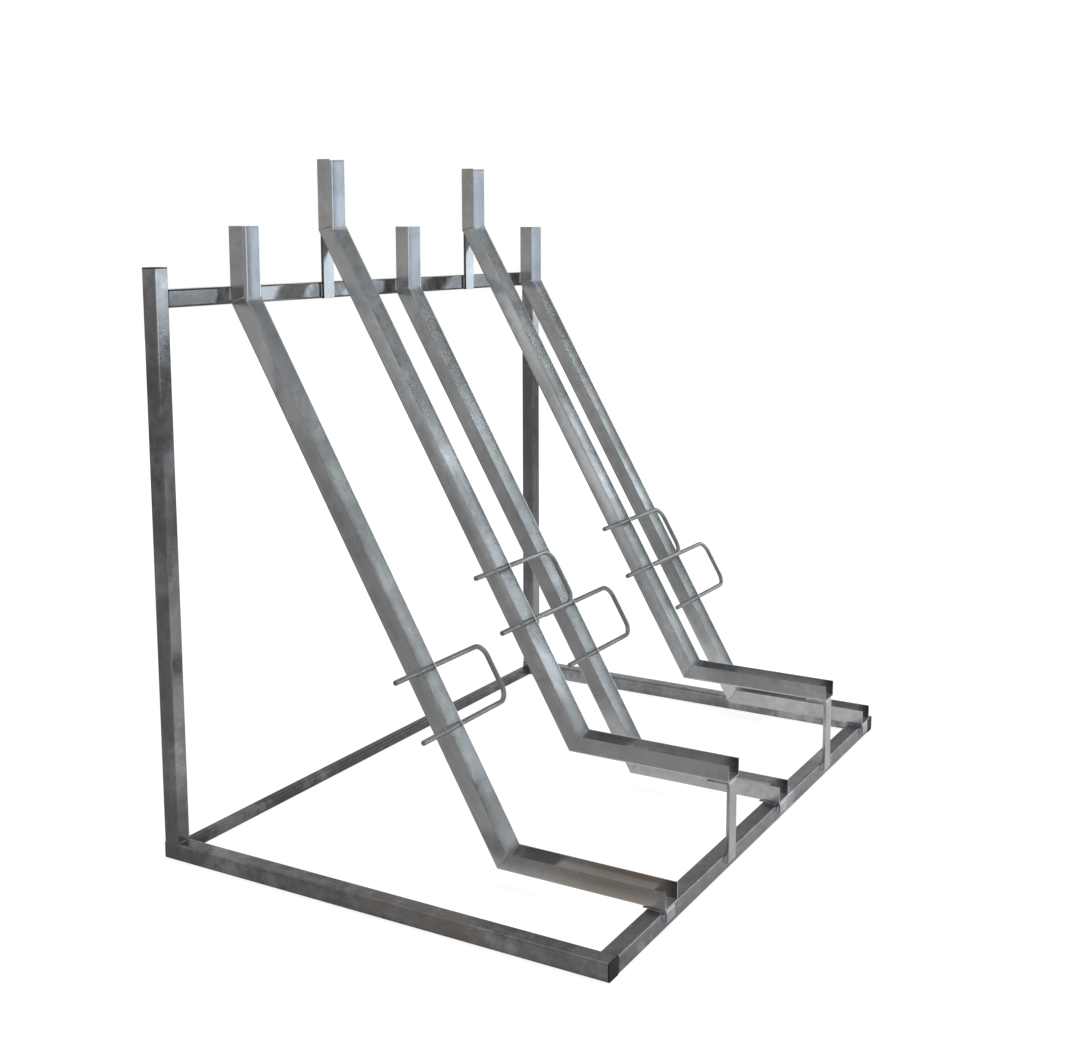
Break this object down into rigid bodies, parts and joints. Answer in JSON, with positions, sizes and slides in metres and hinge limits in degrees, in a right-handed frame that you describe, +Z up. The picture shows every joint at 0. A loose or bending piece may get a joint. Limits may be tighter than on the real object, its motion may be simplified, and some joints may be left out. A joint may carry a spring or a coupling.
{
  "type": "two tier bike rack",
  "caption": "Free-standing two tier bike rack: box tube frame carrying folded wheel channels set low and high by turns, each with a wheel slot and a locking loop.",
  "frame": {"origin": "on the ground, at the centre of the overall box, loops included", "axes": "+X across the rack towards the side the locking loops reach to, +Y from the front rail to the rear uprights, +Z up"},
  "size_m": [1.768, 1.146, 1.581],
  "materials": {
    "galvanised_tube": "hot-dip galvanised, dull mottled grey",
    "galvanised_sheet": "hot-dip galvanised folded sheet, satin",
    "galvanised_rod": "hot-dip galvanised round bar, dull",
    "cap_plastic": "black moulded plastic"
  },
  "bodies": {
    "root": {"left_side_rail": "galvanised_tube", "right_side_rail": "galvanised_tube", "front_rail": "galvanised_tube", "rear_ground_rail": "galvanised_tube", "left_upright": "galvanised_tube", "right_upright": "galvanised_tube", "top_cross_member": "galvanised_tube", "left_rail_front_cap": "cap_plastic", "left_rail_rear_cap": "cap_plastic", "left_upright_cap": "cap_plastic", "right_rail_front_cap": "cap_plastic", "right_rail_rear_cap": "cap_plastic", "right_upright_cap": "cap_plastic", "wheel_channel_1_head": "galvanised_sheet", "wheel_channel_1_incline": "galvanised_sheet", "wheel_channel_1_foot": "galvanised_sheet", "front_bracket_1": "galvanised_sheet", "locking_loop_1": "galvanised_rod", "wheel_channel_2_head": "galvanised_sheet", "wheel_channel_2_incline": "galvanised_sheet", "wheel_channel_2_foot": "galvanised_sheet", "front_bracket_2": "galvanised_sheet", "locking_loop_2": "galvanised_rod", "wheel_channel_3_head": "galvanised_sheet", "wheel_channel_3_incline": "galvanised_sheet", "wheel_channel_3_foot": "galvanised_sheet", "front_bracket_3": "galvanised_sheet", "locking_loop_3": "galvanised_rod", "wheel_channel_4_head": "galvanised_sheet", "wheel_channel_4_incline": "galvanised_sheet", "wheel_channel_4_foot": "galvanised_sheet", "front_bracket_4": "galvanised_sheet", "locking_loop_4": "galvanised_rod", "wheel_channel_5_head": "galvanised_sheet", "wheel_channel_5_incline": "galvanised_sheet", "wheel_channel_5_foot": "galvanised_sheet", "front_bracket_5": "galvanised_sheet", "locking_loop_5": "galvanised_rod", "rear_strut_2": "galvanised_sheet", "rear_strut_4": "galvanised_sheet"}
  },
  "joints": []
}
